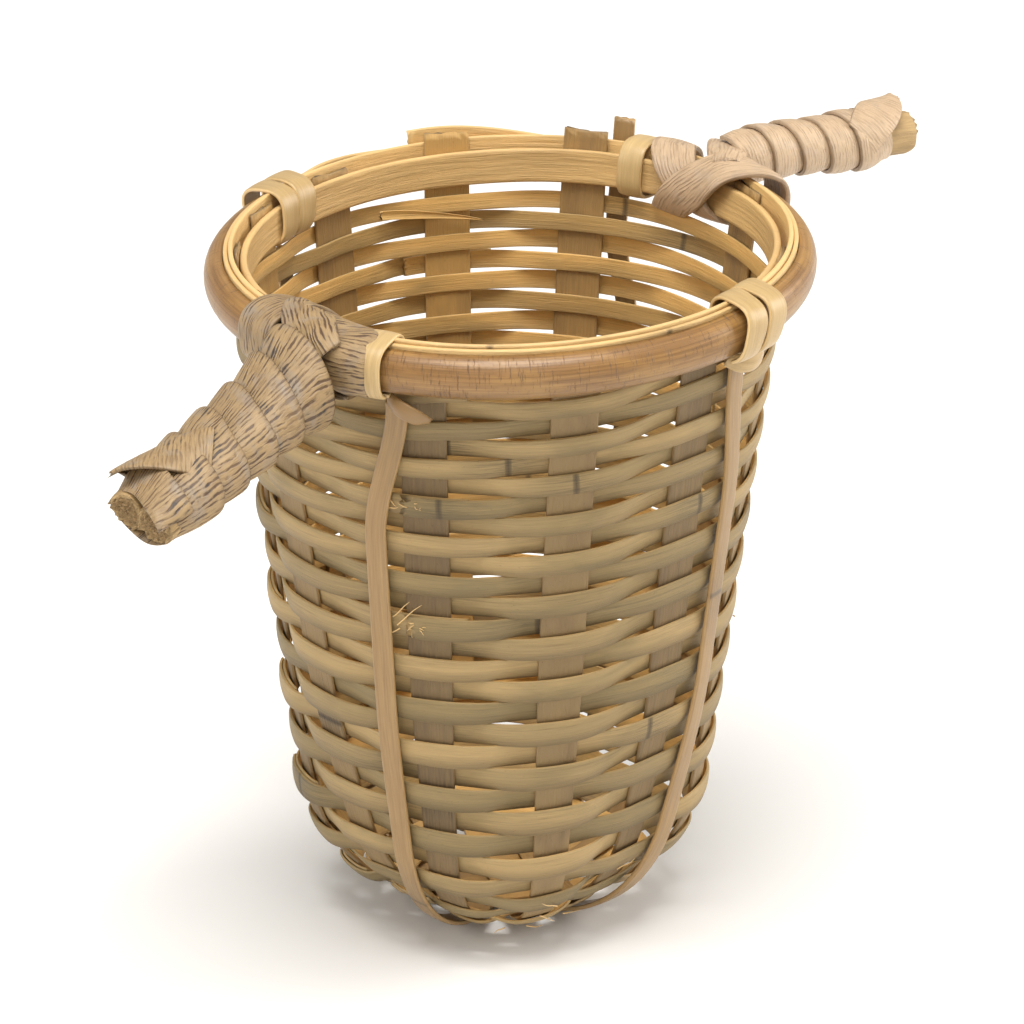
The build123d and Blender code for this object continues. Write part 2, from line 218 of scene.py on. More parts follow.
# ---------------------------------------------------------------- materials
class Nodes:
    """Short names for building a node tree."""

    def __init__(self, name):
        self.material = bpy.data.materials.new(name)
        self.material.use_nodes = True
        self.tree = self.material.node_tree
        self.shader = self.tree.nodes["Principled BSDF"]

    def put(self, socket, value):
        if isinstance(value, bpy.types.NodeSocket):
            self.tree.links.new(value, socket)
        else:
            socket.default_value = value

    def math(self, kind, a, b=0.0):
        node = self.tree.nodes.new("ShaderNodeMath")
        node.operation = kind
        self.put(node.inputs[0], a)
        self.put(node.inputs[1], b)
        return node.outputs[0]

    def add(self, a, b):
        return self.math("ADD", a, b)

    def minus(self, a, b):
        return self.math("SUBTRACT", a, b)

    def times(self, a, b):
        return self.math("MULTIPLY", a, b)

    def absolute(self, a):
        return self.math("ABSOLUTE", a)

    def sine(self, a):
        return self.math("SINE", a)

    def attribute(self, name):
        node = self.tree.nodes.new("ShaderNodeAttribute")
        node.attribute_type = "GEOMETRY"
        node.attribute_name = name
        split = self.tree.nodes.new("ShaderNodeSeparateXYZ")
        self.tree.links.new(node.outputs["Vector"], split.inputs[0])
        return split.outputs

    def join(self, x, y, z):
        node = self.tree.nodes.new("ShaderNodeCombineXYZ")
        for k, value in enumerate((x, y, z)):
            self.put(node.inputs[k], value)
        return node.outputs[0]

    def grain(self, u, v, layer, along, across, detail=3, rough=.6, distortion=0.0):
        """Noise on a strip, with so many features to a millimetre along it and across it."""
        node = self.tree.nodes.new("ShaderNodeTexNoise")
        node.noise_dimensions = "3D"
        self.put(node.inputs["Vector"], self.join(self.times(u, along), self.times(v, across), layer))
        node.inputs["Scale"].default_value = 1
        node.inputs["Detail"].default_value = detail
        node.inputs["Roughness"].default_value = rough
        node.inputs["Distortion"].default_value = distortion
        return node.outputs["Fac"]

    def ramp(self, fac, *stops):
        node = self.tree.nodes.new("ShaderNodeValToRGB")
        ramp = node.color_ramp
        while len(ramp.elements) < len(stops):
            ramp.elements.new(0.5)
        for element, (place, colour) in zip(ramp.elements, stops):
            element.position = place
            element.color = (*colour, 1) if isinstance(colour, tuple) else (colour, colour, colour, 1)
        self.put(node.inputs["Fac"], fac)
        return node.outputs["Color"]

    def mix(self, fac, a, b, kind="MIX"):
        node = self.tree.nodes.new("ShaderNodeMix")
        node.data_type = "RGBA"
        node.blend_type = kind
        self.put(node.inputs["Factor"], fac)
        for k, value in ((6, a), (7, b)):
            if isinstance(value, tuple):
                node.inputs[k].default_value = (*value, 1)
            else:
                self.put(node.inputs[k], value)
        return node.outputs[2]

    def bump(self, height, strength, distance):
        node = self.tree.nodes.new("ShaderNodeBump")
        node.inputs["Strength"].default_value = strength
        node.inputs["Distance"].default_value = distance
        self.put(node.inputs["Height"], height)
        return node.outputs["Normal"]

    def finish(self, colour, roughness, normal, coat, coat_roughness):
        self.put(self.shader.inputs["Base Color"], colour)
        self.put(self.shader.inputs["Roughness"], roughness)
        self.put(self.shader.inputs["Normal"], normal)
        self.shader.inputs["Coat Weight"].default_value = coat
        self.shader.inputs["Coat Roughness"].default_value = coat_roughness
        return self.material


def times_colour(colour, factor, plus=0.0):
    """A colour made darker or lighter, never past white."""
    return tuple(min(1, c * factor + plus) for c in colour)


def bamboo(name, dark, light, deep, pith, fibre, lines, rough, contrast, coat, stain, low=0.0):
    """Split bamboo: fibre lines, slow colour drift, flecks, a knot, and a warmer pith face inside.

    fibre is the depth of the fibre relief and lines how many fibres lie side by side. stain is how
    much the deep colour spreads, and low is the strength of the painted shade along the strip's lower edge.
    """
    n = Nodes(name)
    u, v, side = n.attribute("strip")
    tone, seed, knot = n.attribute("mark")
    fine = n.grain(u, v, seed, .16, lines, 5, .68)
    coarse = n.grain(u, v, n.add(seed, 5.0), .05, 1.5)
    drift = n.grain(u, v, n.add(seed, 11.0), .045, .12, distortion=.4)
    speck = n.grain(u, v, n.add(seed, 23.0), 1.1, 3.2, rough=.7)

    shade = n.add(n.times(fine, .55 * contrast), n.times(coarse, .45 * contrast))
    shade = n.add(shade, n.times(tone, .34))
    colour = n.ramp(shade, (.28, dark), (.52, light), (.80, times_colour(light, 1.35)))
    inner = n.ramp(shade, (.28, times_colour(pith, .62)), (.55, pith), (.80, times_colour(pith, 1.2)))
    colour = n.mix(n.ramp(side, (.0, 1.0), (.05, 0.0)), colour, inner)
    colour = n.mix(n.ramp(drift, (.48, 0.0), (.70, stain)), colour, deep)
    darker_strip = n.ramp(n.add(n.times(tone, .8), .5), (.15, .6), (.5, 0.0))
    colour = n.mix(darker_strip, colour, deep)
    colour = n.mix(n.ramp(speck, (.64, 0.0), (.78, .45)), colour, times_colour(dark, .45))

    from_knot = n.absolute(n.minus(u, knot))
    ragged_edge = n.add(from_knot, n.times(n.minus(drift, .5), 6.0))
    around = n.ramp(n.times(ragged_edge, .1), (.0, .75), (.9, 0.0))
    around = n.times(around, n.ramp(fine, (.35, 1.0), (.62, .25)))
    colour = n.mix(around, colour, times_colour(deep, .42))
    ring = n.ramp(from_knot, (.0, .8), (.35, .5), (.6, 0.0))
    colour = n.mix(ring, colour, times_colour(dark, .3))

    # painted shade: the strip is darkened towards its lower edge, standing in for the shade under its curve
    painted_shade_below = n.ramp(n.add(n.times(v, .22), .5), (.42, 0.0), (.92, low))
    colour = n.mix(painted_shade_below, colour, times_colour(dark, .62))
    # painted highlight: the strip's thin edges are made lighter, as where they catch the light
    painted_edge_tone = n.ramp(n.absolute(side), (.45, .5), (1.0, 0.0))
    colour = n.mix(painted_edge_tone, colour, times_colour(light, 1.45, .03))
    rougher = n.add(n.times(coarse, .22), rough - .1)
    height = n.add(n.times(fine, .9), n.times(coarse, .6))
    height = n.add(height, n.times(ring, .8))
    return n.finish(colour, rougher, n.bump(height, fibre, .0004), coat, .35)


def cane_skin(name):
    """Rattan cane: golden skin with fine cracks across it, faint lines along it and speckles."""
    n = Nodes(name)
    u, v, _ = n.attribute("strip")
    _, seed, _ = n.attribute("mark")
    along = n.grain(u, v, seed, .06, 2.6, 4)
    drift = n.grain(u, v, 4.0, .05, .16, distortion=.6)
    crack = n.grain(u, v, 9.0, 3.6, .30, 5, .75, .5)
    fine = n.grain(u, v, 15.0, 7.0, 1.1, rough=.7)
    speck = n.grain(u, v, 31.0, 2.0, 3.0, rough=.75)

    colour = n.ramp(along, (.3, (.16, .074, .019)), (.55, (.30, .153, .046)), (.8, (.44, .25, .087)))
    colour = n.mix(n.ramp(drift, (.42, 0.0), (.68, .65)), colour, (.46, .255, .07))
    dull = n.ramp(n.minus(1.0, drift), (.52, 0.0), (.72, .6))
    colour = n.mix(dull, colour, (.25, .125, .038))
    cracked = n.ramp(crack, (.57, 0.0), (.63, .85), (.68, 0.0))
    colour = n.mix(cracked, colour, (.10, .045, .015))
    colour = n.mix(n.ramp(fine, (.62, 0.0), (.75, .30)), colour, (.20, .10, .035))
    colour = n.mix(n.ramp(speck, (.68, 0.0), (.78, .7)), colour, (.09, .045, .018))
    colour = n.mix(n.ramp(speck, (.20, .6), (.30, 0.0)), colour, (.72, .52, .28))
    # painted shade: the underside of the cane is darkened as if shaded from the light above
    painted_underside_shade = n.ramp(n.add(n.times(v, .1), .5), (.05, .75), (.46, 0.0))
    colour = n.mix(painted_underside_shade, colour, (.13, .062, .018))
    height = n.minus(n.times(along, .5), n.times(cracked, .8))
    rougher = n.add(n.times(fine, .25), .28)
    return n.finish(colour, rougher, n.bump(height, .45, .0003), .25, .3)


def bark(name, light, mid, dark, black, streak, grey):
    """Bark strip wound round a handle: fine straight streaks across it, dark patches, grey bloom."""
    n = Nodes(name)
    u, v, side = n.attribute("strip")
    tone, seed, _ = n.attribute("mark")
    bent = n.grain(u, v, n.add(seed, 3.0), .22, .18, 2, .5)
    us = n.add(u, n.times(bent, 1.1))
    broken = n.grain(us, v, n.add(seed, 41.0), 1.6, .30)
    sway = n.grain(us, v, n.add(seed, 47.0), .5, .10, 1, .5)
    ripple = n.sine(n.add(n.times(us, 10.5), n.times(sway, 12.0)))
    lines = n.add(n.times(ripple, .13), broken)
    fine = n.grain(us, v, n.add(seed, 7.0), 6.5, .4, 4, .65)
    patch = n.grain(u, v, n.add(seed, 17.0), .13, .2, 4, .6, .4)
    speck = n.grain(u, v, n.add(seed, 29.0), 5.0, 5.0, rough=.7)

    shade = n.add(n.times(fine, .6), n.times(patch, .4))
    colour = n.ramp(shade, (.32, mid), (.5, light), (.7, times_colour(light, 1.25)))
    bloom = n.ramp(n.grain(u, v, n.add(seed, 53.0), .2, .3), (.52, 0.0), (.70, grey))
    level = sum(light) / 3
    colour = n.mix(bloom, colour, (level * 1.12, level * 1.02, level * .94))
    inked = n.times(n.ramp(lines, (.56, 0.0), (.66, 1.0)), n.ramp(patch, (.28, .45), (.50, 1.0)))
    inked = n.times(inked, n.times(n.minus(1.0, tone), streak))
    colour = n.mix(inked, colour, dark)
    blot = n.times(n.ramp(patch, (.57, 0.0), (.66, 1.0)), n.ramp(lines, (.44, .10), (.60, .9)))
    colour = n.mix(n.times(blot, streak * .9), colour, black)
    colour = n.mix(n.ramp(speck, (.62, 0.0), (.80, .2)), colour, times_colour(mid, .5))
    # painted shade: the strip's thin edges are darkened, standing in for the shadow along each turn's edge
    painted_edge_tone = n.ramp(n.absolute(side), (.5, .5), (.97, 0.0))
    colour = n.mix(painted_edge_tone, colour, times_colour(mid, .5))
    height = n.add(n.times(n.ramp(lines, (.50, 1.0), (.66, 0.0)), .8), n.times(fine, .4))
    rougher = n.add(n.times(fine, .3), .35)
    return n.finish(colour, rougher, n.bump(height, .5, .0003), .1, .4)


# the last number given to the weavers is the strength of the painted shade along their lower edges
WEAVER = bamboo("weaver_bamboo", (.145, .09, .032), (.33, .225, .094), (.185, .14, .056), (.68, .41, .128),
                .5, 5.0, .56, 1.35, .04, .6, .62)
# the stakes are darker than the weavers: partly their own browner colour, partly painted shade for where they
# lie recessed between the rows
STAKE = bamboo("stake_bamboo", (.09, .053, .02), (.215, .142, .062), (.13, .083, .042), (.45, .265, .082),
               .6, 3.2, .62, 1.6, 0, .5)
SPLINT = bamboo("splint_bamboo", (.27, .15, .045), (.54, .36, .15), (.42, .25, .09), (.62, .40, .155),
                .6, 2.6, .48, 1.3, .08, .5)
PEEL = bamboo("peel_strip", (.26, .15, .053), (.42, .26, .10), (.30, .17, .06), (.38, .235, .095),
              .2, 4.0, .40, .7, .25, .4)
BINDING = bamboo("binding_peel", (.44, .29, .12), (.66, .47, .215), (.50, .34, .15), (.58, .40, .18),
                 .2, 4.0, .40, .7, .25, .4)
CANE = cane_skin("rim_cane")
BARK_A = bark("dark_bark", (.36, .24, .115), (.21, .128, .056), (.085, .042, .02), (.03, .026, .026), 1, .5)
BARK_B = bark("pale_bark", (.54, .385, .24), (.40, .27, .16), (.27, .17, .10), (.22, .15, .10), .45, .2)
CORE = bamboo("handle_core", (.24, .135, .05), (.46, .31, .14), (.14, .08, .035), (.30, .185, .075),
              .8, 1.6, .75, 1.5, 0, .6)

# ---------------------------------------------------------------- stakes
AT_RIM = np.array([234.0, 201.5, 156.0, 130.0, 108.0, 82.9, 54.0, 23.4, -22.0, -61.0, -96.0])
AT_FOOT = np.array([234.0, 201.5, 171.0, 144.0, 116.0, 82.9, 54.0, 23.4, -22.0, -61.0, -94.0])
STAKES = len(AT_RIM)
FOOT_AT = 103.0                              # distance down the wall at which AT_FOOT holds
STAKE_THICK = .58
STAKE_WIDTH, STAKE_GAIN = 5.0, 2.0           # width under the base, and what it gains up the wall
STAKE_TOP, BACK_TOP = 3.4, 5.6               # how far a stake stands above the middle of the rim
SPACING, PLAIT = 6.6, 0.46                   # between strips under the base, and their rise there
STEP, STEPS, CUT_STEPS = .5, 33, 26          # steps from the middle of the base out to the foot
CUT_SPREAD = 28.0                            # the cut end runs out at this angle
PALE_STRIP = 2                               # one strip is much paler than the others


def flat_wave(phase, third):
    """A cosine whose tops are flattened: a strip hugs what it crosses."""
    return (np.cos(phase) - third * np.cos(3 * phase)) / (1 - third)


def stake_angle(number, s):
    """Direction of a stake at a distance down the wall."""
    return AT_RIM[number] + (AT_FOOT[number] - AT_RIM[number]) * np.minimum(np.asarray(s, float) / FOOT_AT, 1)


def stake_half(direction, lane, over, side, stake):
    """From the middle of the floor out to the foot, then up the wall to the stake's top."""
    half = []
    if stake is None:
        spread, steps = CUT_SPREAD, CUT_STEPS
    else:
        off = (side * (AT_FOOT[stake] - direction) + 90 * (1 - side) + 180) % 360 - 180
        spread, steps = (abs(off) if lane else off), STEPS
    slant = math.tan(math.radians(spread))
    cos, sin = math.cos(math.radians(direction)), math.sin(math.radians(direction))
    for step in range(0 if side > 0 else 1, steps + 1):
        x = STEP * step
        if lane:
            y = lane * (SPACING ** 8 + (slant * x) ** 8) ** .125
        else:
            y = slant * x * float(smooth(x, 4, 15))
        angle, z = direction + math.degrees(math.atan2(y, side * x)), FLOOR
        for _ in range(4):
            s = distance_at(math.hypot(x, y) / (1 - float(squareness(z, angle))))
            z = float(meridian(s)[1])
        rise = PLAIT * float(flat_wave(math.pi * x / SPACING, .2)) * (1 - float(smooth(x, 9, 12)))
        lift = -over * (-1) ** lane * rise
        if math.hypot(x, y) < FLAT * .8:
            point = np.array([side * x * cos - y * sin, side * x * sin + y * cos, FLOOR - lift])
            outward = np.array([0, 0, -1.0])
        else:
            point, outward = seat(s, angle, lift)
        half.append((point, outward, STAKE_WIDTH))
    if stake is not None:
        start = s
        top = BACK_TOP if gap(AT_RIM[stake], 41) < 20 else STAKE_TOP
        for s in np.linspace(start, -top, 110)[1:]:
            point, outward = seat(s, stake_angle(stake, s), 0.0)
            half.append((point, outward, STAKE_WIDTH + STAKE_GAIN * float(smooth(start - s, 0, 70))))
    return half


# Each strip's direction under the base, its lane there, whether it starts over or under, and the
# stakes that its two ends make. The last strip has one end cut off inside the lowest row.
STRIPS = ((54.0, -1, 1, (10, 7)), (54.0, 0, 1, (0, 6)), (54.0, 1, 1, (1, 5)),
          (-36.0, -1, -1, (2, 9)), (-36.0, 0, -1, (3, 8)), (-36.0, 1, -1, (4, None)))
for number, (direction, lane, over, ends) in enumerate(STRIPS, 1):
    route = (stake_half(direction, lane, over, -1, ends[0])[::-1]
             + stake_half(direction, lane, over, 1, ends[1]))
    centre, outward, width = (np.array([place[k] for place in route]) for k in range(3))
    run = np.arange(len(centre), dtype=float)
    width = width * (1 + wander(run, .025, 14, 400 + number))
    cup = wander(run, .06, 22, 430 + number) + .06
    grid, coords = sweep(centre, outward, width, STAKE_THICK, cup=cup)
    grid = ragged(ragged(grid, 0, .35, 440 + number), 1, .35, 450 + number)
    tone = .75 if number == PALE_STRIP else rng.uniform(-.3, .1)
    mark = (tone, number * 13.7, rng.uniform(60, 180))
    solid(f"stake_strip_{number}", grid, coords, mark, STAKE, f"stake_strip_{number}")

# ---------------------------------------------------------------- weavers
ROWS = 28
WEAVER_THICK = .43
STACK = .525 + .03                           # half a stake, half a weaver and the room between them
FIRST_ROW = 3.9                              # distance down the wall of the first row
FIRST_PITCH, GROWTH = 3.07, .0125            # height of the first row, and what each mm below adds
PRESSED = ((176.0, 1.4, 15.0), (194.0, 0.9, 4.0), (96.0, 0.5, 7.5))    # direction, push, half width
BULGE_AT, BULGE_REACH = 262, 30              # the upper rows ride up by 1 mm here
LAP, TORN_LAP = 10, 3.5                      # how far an end runs past the stake it is lapped on
TORN_ROWS = {5: 5, 11: 19}                   # rows that end in sight, and a knot so far before the end
COUNTS = np.arange(-3, STAKES * 31)          # more stakes than the spiral passes, at both ends


def spiral(angle):
    """Distance down the wall of the spiral, whose angle falls by 360 with each turn."""
    turned = (AT_RIM[0] - np.asarray(angle, float)) / 360
    start = FIRST_PITCH / GROWTH
    return (FIRST_ROW + start) * (1 + GROWTH) ** turned - start


def row_distance(angle):
    """The spiral with its rows pressed down beside the lashings and risen at the bulge."""
    s = spiral(angle)
    push = np.max([a * (1 - smooth(gap(angle, p), h, h + 10)) for p, a, h in PRESSED], axis=0)
    rise = (1 - smooth(gap(angle, BULGE_AT), 0, BULGE_REACH)) * (1 - smooth(s, 50, 90))
    return s + push * np.maximum(1 - s / 22, 0) - rise


def passing(count):
    """Direction of the count-th stake that the spiral passes."""
    back = 360 * (count // STAKES)
    rough = AT_RIM[count % STAKES] - back
    return float(stake_angle(count % STAKES, spiral(rough))) - back


def lap(number):
    """Count of the stake on which a strip is lapped over the one before it."""
    return STAKES * number + (1 if number in (0, 6, 12) else (5, 4, 3, 6)[number % 4])


PASSES = np.array([passing(k) for k in COUNTS])
tears = []
for row in range(ROWS):
    torn = row in TORN_ROWS
    first = passing(lap(row)) + LAP
    last = passing(lap(row + 1)) - (TORN_LAP if torn else LAP)
    angle = np.linspace(first, last, int((first - last) / 1.2))
    phase = np.pi * (np.interp(-angle, -PASSES, COUNTS) - 1)
    beat = flat_wave(phase, .12)
    s = row_distance(angle)
    r = meridian(s)[0]
    half = np.where(s > 95, 2.5, 3.5)                # half a stake
    wave = (STACK + half ** 2 / (2 * r)) / flat_wave(7 * half / r, .12)
    over_lap = .56 * (1 - smooth(angle - last, 20, 29))
    proud = .3 * smooth(s, 6, 16) * (1 - smooth(s, 88, 96))
    lift = wave * beat + over_lap + proud
    gone = first - angle
    s = s + wander(gone, .14, 38, 100 + row) * smooth(s, 5, 12)
    centre, outward = seat(s, angle, lift)
    share = .87 + .07 * smooth(s, 10, 60) - .13 * smooth(s, 78, 100)
    thinner = 1 - .07 * (1 - smooth(gap(angle, 40), 60, 90)) * (1 - smooth(s, 30, 50))
    swell = .03 + .07 * np.clip(beat, 0, 1) ** 1.5 * smooth(s, 4, 9)
    width = (FIRST_PITCH + GROWTH * s) * share * thinner
    width = width * (1 + swell + wander(gone, .03, 21, 140 + row))
    lean = np.radians(wander(gone, 4.0, 25, 170 + row)) - np.radians(6) * (1 - np.abs(np.cos(phase)))
    grid, coords = sweep(centre, outward, width, WEAVER_THICK, twist=lean, cup=.14 + .10 * beat)
    grid = ragged(ragged(grid, 0, .35, 200 + row), 1, 1.4 if torn else .5, 230 + row)
    if torn:
        knot = float(coords[-1, 0, 0]) - TORN_ROWS[row]
        tears.append((float(s[-1]), float(angle[-1])))
    else:
        knot = rng.uniform(20, 250)
    name = f"weaver_{row + 1:02d}"
    solid(name, grid, coords, (rng.uniform(-.4, .4), row * 7.31 + 2, knot), WEAVER, name)


# ---------------------------------------------------------------- rim
def rim_strip(name, first, last, rise, lift, width, thickness, tone, seed, profile=FLATS):
    """A splint bent round the rim; rise and lift say where it lies in each direction."""
    angle = np.linspace(first, last, max(int(abs(last - first) / 1.5), 30))
    centre, outward = seat(-(rise(angle) + wander(angle, .12, 20, seed)), angle, lift(angle))
    width = width * (1 + wander(angle, .02, 17, seed + 1))
    grid, coords = sweep(centre, outward, width, thickness, profile)
    grid = ragged(ragged(grid, 0, .4, seed + 2), 1, .4, seed + 3)
    solid(name, grid, coords, (tone, seed * 1.3, seed * 3.0), SPLINT, name)


def over_the_end(angle):
    """Lift of the outer splint, which rides over the back splint's end."""
    return 1.69 + 1.9 * smooth(angle, 62, 76) * (1 - smooth(angle, 78, 91))


rim_strip("rim_inner_hoop", -3.0, 356.2, lambda a: 0.0, lambda a: -.92, 5.2, 1.08, -.1, 41,
          flat_profile(.25, .1))
rim_strip("rim_splint_inner", -1.5, 357.7, lambda a: .9, lambda a: .88, 7.0, .73, .25, 52)
rim_strip("rim_splint_outer", -5.0, 354.2, lambda a: .7, over_the_end, 6.5, .73, .1, 63)
rim_strip("rim_back_splint", -7.0, 61.0, lambda a: .4 + 3.0 * smooth(a, 22, 58), lambda a: 2.58,
          5.6, .75, 0.0, 74)

CANE_WIDTH, CANE_BOW = 6.8, 3.1              # the cane is half round, with a flat back
CANE_SKIN, CANE_BACK = 5.3, 3.2              # half the way round its skin and across its back
angle = np.linspace(97, 351, 240)
centre, outward = seat(0 * angle, angle, 2.2)
turned = np.linspace(-90, 90, 17)
bow = np.cos(np.radians(turned)) ** .92 * 2 * CANE_BOW / CANE_WIDTH
skin = np.stack([np.sin(np.radians(turned)), bow], 1)
flat_back = np.stack([np.linspace(.94, -.94, 6), np.zeros(6)], 1)
profile = np.concatenate([skin, flat_back])
width = CANE_WIDTH * (1 + wander(angle, .012, 9, 91))
grid, coords = sweep(centre, outward, width, CANE_WIDTH, profile)
coords[..., 1] = np.concatenate([turned / 90 * CANE_SKIN, np.linspace(CANE_BACK, -CANE_BACK, 6)])
coords[..., 2] = 1.0
solid("rim_cane", grid, coords, (0, 3.3, 0), CANE, "rim_cane")

# ---------------------------------------------------------------- lashings, bands and saddles
BUNDLE_S, BUNDLE_LIFT = -.5, 2.12            # middle of the bundle of hoop, splints and cane
LASHING_WIDTH, LASHING_ROOM = 4.1, .25


def round_rim(way, angle, half, power):
    """Points on a rounded box round the rim's bundle, and the middle of the bundle at each of them."""
    width, height = half
    reach = ((np.abs(np.cos(way)) / width) ** power + (np.abs(np.sin(way)) / height) ** power) ** (-1 / power)
    points = seat(BUNDLE_S - reach * np.sin(way), angle, BUNDLE_LIFT + reach * np.cos(way))[0]
    return points, seat(BUNDLE_S, angle, BUNDLE_LIFT)[0]


def loop(first, last, angle, extra):
    """A line wound round the rim, and the direction outwards along it; extra is its room."""
    way = np.radians(first + (last - first) * np.linspace(0, 1, len(angle)))
    centre, middle = round_rim(way, angle, (4.0 + extra, 3.95 + extra), 3)
    tangent = unit(np.gradient(centre, axis=0))
    across = np.cross(tangent, unit(centre - middle))
    return centre, unit(np.cross(across, tangent))


def turn_grain(coords):
    """Makes a bark's streaks run along the strip instead of across it."""
    coords[..., [0, 1]] = coords[..., [1, 0]]


def lashing(name, place, loops):
    """A strip of peel wound round the rim, its turns side by side."""
    gap_angle = 360 / (2 * math.pi * RIM_R) * (LASHING_WIDTH + LASHING_ROOM) * (loops - 1)
    angle = place + (np.linspace(0, 1, 110 * loops) * loops - loops / 2) * gap_angle
    wound = 360.0 * loops - (0 if loops > 1 else 8)
    centre, outward = loop(300, 300 + wound, angle, .3)
    grid, coords = sweep(centre, outward, LASHING_WIDTH, .58, flat_profile(.2, .08), cup=.05)
    solid(name, grid, coords, (rng.uniform(-.1, .3), place, -50), BINDING, name)


lashing("lashing_front_right", 274.5, 2)
lashing("lashing_back_left", 96.0, 2)
lashing("lashing_front_left", 193.8, 1)
lashing("lashing_back_right", 11.4, 1)


def band(name, start, end, layer, width, narrow, material, seed, lengthwise=True):
    """A bark band that crosses the rim from one direction to another; layer 1 lies over layer 0."""
    share = np.linspace(0, 1, 110)
    angle = start + (end - start) * smooth(share, .3, .95)
    centre, outward = loop(-42, 308, angle, .4 + layer * .85 * smooth(share, .2, .42))
    width = width + (narrow - width) * smooth(share, .6, .85)
    width = width * (1 + wander(np.arange(110.0), .03, 12, seed))
    grid, coords = sweep(centre, outward, width, .74, flat_profile(.45, .06), cup=.16)
    grid = ragged(ragged(grid, 0, .5, seed), 1, .5, seed + 1)
    if lengthwise:
        turn_grain(coords)
    solid(name, grid, coords, (.1, seed * 3.1, 0), material, name)


band("handle_a_band_1", 189.0, 166.5, 0, 7.6, 5.0, BARK_A, 21, False)
band("handle_a_band_2", 167.5, 186.0, 1, 7.4, 5.0, BARK_A, 22)
band("handle_b_band_1", 5.0, -13.6, 0, 6.8, 5.0, BARK_B, 23)
band("handle_b_band_2", -20.0, 4.8, 1, 6.8, 5.0, BARK_B, 24)


def saddle(name, places, ways, extra, width, material, seed):
    """A lobe of bark lying over the top of the rim between two bands."""
    share = np.linspace(0, 1, 50)
    way = np.radians(ways[0] + (ways[1] - ways[0]) * share)
    angle = places[0] + (places[1] - places[0]) * share
    centre, middle = round_rim(way, angle, (4.3 + extra, 4.0 + extra), 2.4)
    width = width * (1 - .25 * (2 * share - 1) ** 2)
    grid, coords = sweep(centre, unit(centre - middle), width, .6, flat_profile(.5, .06), cup=.9)
    grid = ragged(ragged(grid, 0, .3, seed), 1, .3, seed + 1)
    turn_grain(coords)
    solid(name, grid, coords, (.05, seed * 2.3, 0), material, None)


saddle("handle_a_saddle", (171.5, 186.0), (125, 30), 1.7, 7.6, BARK_A, 31)
saddle("handle_b_saddle", (-2.5, -14.0), (35, 120), 2.2, 6.4, BARK_B, 33)

# ---------------------------------------------------------------- straps
STRAP_WIDTH, STRAP_THICK, STRAP_LIFT = 3.35, .72, 1.95


def strap(name, base, bend, ends, hump, end_lift, knot, seed):
    """A strip of peel down one side, under the base and up the other.

    base is its direction under the base, bend what each side turns by up the wall, ends where each
    side stops, hump its rise over the other strap, and end_lift its lift at each end.
    """
    last = CONE + ARC + FLAT
    cos, sin = math.cos(math.radians(base)), math.sin(math.radians(base))
    halves = []
    for side in (0, 1):
        s = np.linspace(last, ends[side], 200)
        angle = base + (180 if side == 0 else 0) + bend[side] * (1 - smooth(s, 6, 30))
        under = STRAP_LIFT + (FLOOR - .4 - STRAP_LIFT) * smooth(s, 84, 100)
        lift = under - hump * (1 - smooth(last - s, 2.6, 6))
        lift = lift + (end_lift[side] - STRAP_LIFT) * (1 - smooth(s, 3.5, 14))
        centre, outward = seat(s, angle, lift)
        flat = (s > CONE + ARC - .01)[:, None]
        x = (last - s) * (1 if side else -1)
        centre = np.where(flat, np.stack([x * cos, x * sin, FLOOR - lift], 1), centre)
        outward = np.where(flat, np.array([0, 0, -1.0]), outward)
        halves.append((centre, outward))
    centre, outward = (np.concatenate([halves[0][k][::-1][:-1], halves[1][k]]) for k in (0, 1))
    width = STRAP_WIDTH * (1 + wander(np.arange(float(len(centre))), .03, 30, seed))
    grid, coords = sweep(centre, outward, width, STRAP_THICK, flat_profile(.25, .09))
    grid = ragged(ragged(grid, 0, .2, seed), 1, .2, seed + 1)
    solid(name, grid, coords, (.1, seed, knot), PEEL, name)


strap("strap_long", 10.5, (6.5, 6.3), (5.6, -7.2), 0.0, (1.95, 3.5), 91.0, 61)
strap("strap_cross", 97.5, (-4.5, -1.5), (5.6, 5.6), .83, (1.95, 1.95), 40.0, 67)


# ---------------------------------------------------------------- scraps on the wall
def scrap(name, points, width, thickness, material, seed, tone=0.0):
    """A short bent strip through (distance, angle, lift, width share) points on the wall."""
    s, angle, lift, share = eased(points, 40, 4)
    centre, outward = seat(s, angle, lift)
    grid, coords = sweep(centre, outward, width * share, thickness, flat_profile(.3, .08), cup=.25)
    grid = ragged(ragged(grid, 0, .3, seed), 1, .5, seed + 1)
    solid(name, grid, coords, (tone, seed, -50), material, None)


scrap("lashing_keeper",
      [(4.4, 268.4, 2.2, .7), (5.3, 271.0, 3.9, 1), (5.6, 274.5, 4.5, 1), (5.2, 278.0, 3.9, 1),
       (4.2, 280.6, 2.2, .7)], 2.9, .5, BINDING, 91)
scrap("strap_curl",
      [(4.6, 195.5, 2.6, .8), (5.0, 198.0, 4.3, 1), (5.8, 201.0, 4.9, 1), (7.2, 203.2, 4.0, .9),
       (8.0, 203.6, 2.7, .6)], 2.7, .45, PEEL, 92, -.9)
scrap("torn_weaver",
      [(5.0, 72, -1.7, .9), (5.6, 66, -1.9, 1), (6.6, 58, -1.8, .7), (7.6, 50, -1.6, .3),
       (8.2, 46, -1.6, .1)], 1.5, .4, WEAVER, 93, .2)


